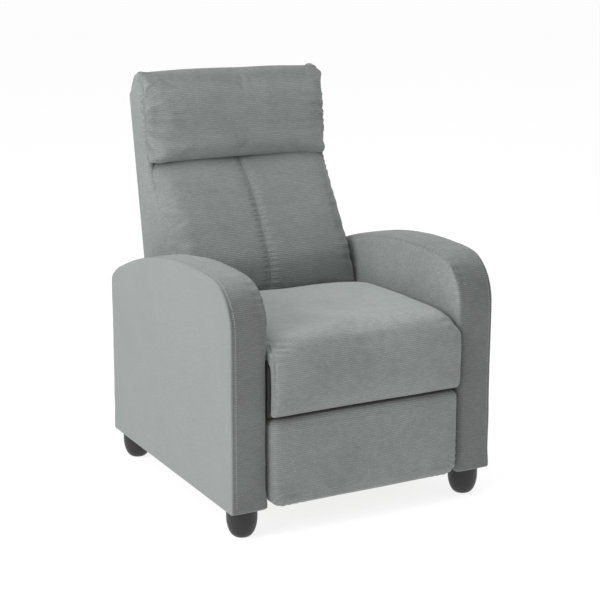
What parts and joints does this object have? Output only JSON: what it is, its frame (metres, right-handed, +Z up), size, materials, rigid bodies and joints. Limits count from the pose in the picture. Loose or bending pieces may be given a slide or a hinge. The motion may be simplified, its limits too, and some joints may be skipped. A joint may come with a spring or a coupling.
{
  "type": "recliner_armchair",
  "caption": "Push-back recliner armchair in grey ribbed fabric, with a folding footrest, tilting back, padded headrest and domed black feet",
  "frame": {"origin": "on the floor under the centre of the chair's overall box", "axes": "+Z up, the sitter faces -Y, +X across to the sitter's left"},
  "size_m": [0.69, 0.8273, 0.9874],
  "materials": {
    "upholstery_fabric": "woven ribbed upholstery",
    "backing_fabric": "plain dark backing cloth",
    "plywood": "sanded plywood",
    "frame_timber": "planed softwood",
    "black_steel": "black powder coat",
    "spring_steel": "oiled spring wire",
    "zinc_steel": "zinc plated",
    "foot_plastic": "moulded satin black",
    "elastic_webbing": "woven elastic"
  },
  "bodies": {
    "base": {"arm_cover_left": "upholstery_fabric", "arm_cover_right": "upholstery_fabric", "arm_inner_panel_left": "plywood", "arm_inner_panel_right": "plywood", "arm_outer_panel_left": "plywood", "arm_outer_panel_right": "plywood", "arm_rails_left": "frame_timber", "arm_rails_right": "frame_timber", "foot_front_left": "foot_plastic", "foot_front_right": "foot_plastic", "foot_rear_left": "foot_plastic", "foot_rear_right": "foot_plastic", "foot_studs": "zinc_steel", "base_plate_left": "black_steel", "base_plate_right": "black_steel", "base_cross_tubes": "black_steel", "arm_bolts": "zinc_steel", "base_rivets": "zinc_steel"},
    "front_lift_links": {"front_lift_link_left": "black_steel", "front_lift_link_right": "black_steel"},
    "rear_lift_links": {"rear_lift_link_left": "black_steel", "rear_lift_link_right": "black_steel"},
    "carriage": {"side_plate_left": "black_steel", "side_plate_right": "black_steel", "carriage_tube_front": "black_steel", "carriage_tube_rear": "black_steel", "carriage_rivets": "zinc_steel", "seat_front_board": "frame_timber", "seat_frame_rails": "frame_timber", "seat_springs": "spring_steel", "spring_clips": "zinc_steel", "seat_frame_bolts": "zinc_steel", "seat_cushion": "upholstery_fabric"},
    "footrest_front_links": {"footrest_front_link_left": "black_steel", "footrest_front_link_right": "black_steel", "footrest_drive_tube": "black_steel", "front_link_rivets": "zinc_steel"},
    "footrest_rear_links": {"footrest_rear_link_left": "black_steel", "footrest_rear_link_right": "black_steel", "rear_link_rivets": "zinc_steel"},
    "footrest_lower_arms": {"footrest_lower_arm_left": "black_steel", "footrest_lower_arm_right": "black_steel"},
    "footrest_upper_arms": {"footrest_upper_arm_left": "black_steel", "footrest_upper_arm_right": "black_steel"},
    "footrest": {"footrest_bracket_left": "black_steel", "footrest_bracket_right": "black_steel", "footrest_board": "plywood", "footrest_pad": "upholstery_fabric", "footrest_rivets": "zinc_steel", "footrest_bolts": "zinc_steel"},
    "back": {"back_bracket_left": "black_steel", "back_bracket_right": "black_steel", "back_side_boards": "plywood", "back_rails": "frame_timber", "back_webbing": "elastic_webbing", "back_cover": "upholstery_fabric", "back_cushion": "upholstery_fabric", "headrest": "upholstery_fabric", "back_bolts": "zinc_steel"}
  },
  "joints": [
    {"name": "push_back", "type": "hinge", "parent": "base", "child": "front_lift_links", "pos_m": [0, -0.228, 0.135], "axis": [1, 0, 0], "range_deg": [0, 50]},
    {"name": "rear_lift_turn", "type": "hinge", "parent": "base", "child": "rear_lift_links", "pos_m": [0, 0.108, 0.135], "axis": [1, 0, 0], "range_deg": [0, 50]},
    {"name": "carriage_level", "type": "hinge", "parent": "front_lift_links", "child": "carriage", "pos_m": [0, -0.18785, 0.2211], "axis": [-1, 0, 0], "range_deg": [0, 50]},
    {"name": "footrest_swing", "type": "hinge", "parent": "carriage", "child": "footrest_front_links", "pos_m": [0, -0.108, 0.3302], "axis": [-1, 0, 0], "range_deg": [0, 90]},
    {"name": "footrest_rear_swing", "type": "hinge", "parent": "carriage", "child": "footrest_rear_links", "pos_m": [0, -0.05313, 0.32636], "axis": [-1, 0, 0], "range_deg": [0, 90]},
    {"name": "footrest_arm_level", "type": "hinge", "parent": "footrest_front_links", "child": "footrest_lower_arms", "pos_m": [0, -0.01014, 0.088], "axis": [1, 0, 0], "range_deg": [0, 90]},
    {"name": "footrest_upper_arm_level", "type": "hinge", "parent": "footrest_front_links", "child": "footrest_upper_arms", "pos_m": [0, -0.027, 0.12972], "axis": [1, 0, 0], "range_deg": [0, 90]},
    {"name": "footrest_tilt", "type": "hinge", "parent": "footrest_lower_arms", "child": "footrest", "pos_m": [0, -0.304, 0.185], "axis": [-1, 0, 0], "range_deg": [0, 90]},
    {"name": "back_recline", "type": "hinge", "parent": "carriage", "child": "back", "pos_m": [0, 0.158, 0.3752], "axis": [-1, 0, 0], "range_deg": [0, 40], "stiffness_Nm_per_rad": 60, "springref_deg": -28.65}
  ],
  "couplings": [
    {"joint": "rear_lift_turn", "follows": "push_back", "ratio": 1},
    {"joint": "carriage_level", "follows": "push_back", "ratio": 1},
    {"joint": "footrest_swing", "follows": "push_back", "ratio": 1.8},
    {"joint": "footrest_rear_swing", "follows": "push_back", "ratio": 1.8},
    {"joint": "footrest_arm_level", "follows": "push_back", "ratio": 1.8},
    {"joint": "footrest_upper_arm_level", "follows": "push_back", "ratio": 1.8},
    {"joint": "footrest_tilt", "follows": "push_back", "ratio": 1.8}
  ]
}
